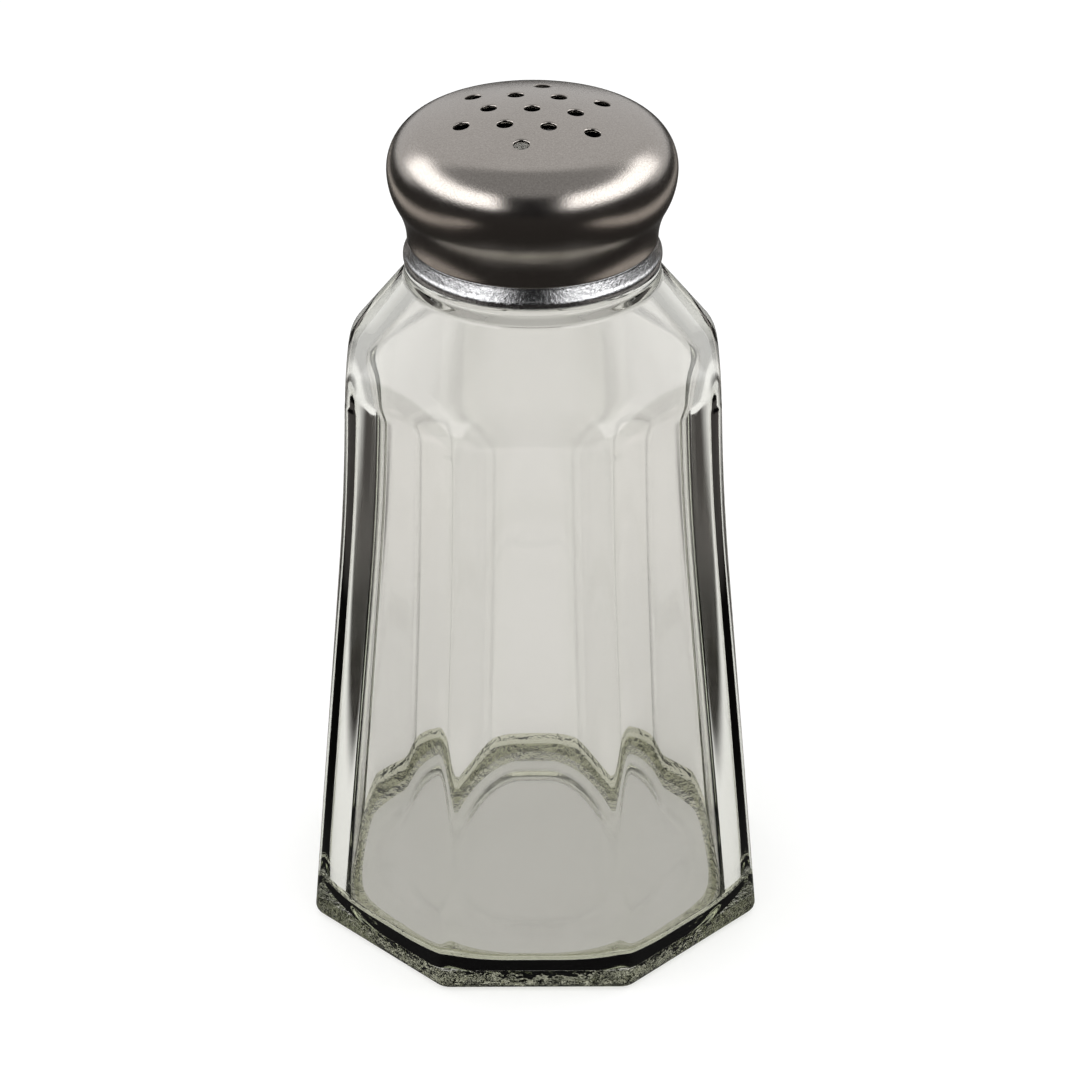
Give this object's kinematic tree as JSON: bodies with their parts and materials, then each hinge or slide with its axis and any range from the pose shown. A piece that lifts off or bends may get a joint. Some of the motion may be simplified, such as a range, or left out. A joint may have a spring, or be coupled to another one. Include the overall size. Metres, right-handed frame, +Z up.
{
  "type": "table spice shaker",
  "caption": "Panelled clear glass table shaker with a screw-on domed steel cap, perforated on top, over a threaded sleeve and rim seal.",
  "frame": {"origin": "on the vertical axis, at the height of the surface the jar's resting ring stands on", "axes": "+Z up along the axis of the jar, neck and cap; one flat panel of the jar faces -Y and another faces +X"},
  "size_m": [0.0522, 0.0522, 0.0984],
  "materials": {
    "clear_glass": "clear pressed and blown soda glass",
    "seal_liner": "matt off-white liner",
    "sleeve_metal": "grainy plated steel",
    "shell_steel": "fine satin pressed stainless steel"
  },
  "bodies": {
    "jar": {"glass_jar": "clear_glass"},
    "seal": {"rim_seal": "seal_liner"},
    "cap": {"threaded_sleeve": "sleeve_metal", "cap_shell": "shell_steel"}
  },
  "joints": [
    {"name": "cap_rise", "type": "slide", "parent": "jar", "child": "seal", "axis": [0, 0, 1], "range_m": [0, 0.012]},
    {"name": "cap_turn", "type": "hinge", "parent": "seal", "child": "cap", "pos_m": [0, 0, 0.0866], "axis": [0, 0, 1], "range_deg": [0, 1440]}
  ],
  "couplings": [
    {"joint": "cap_rise", "follows": "cap_turn", "m_per_rad": 0.00047746}
  ]
}
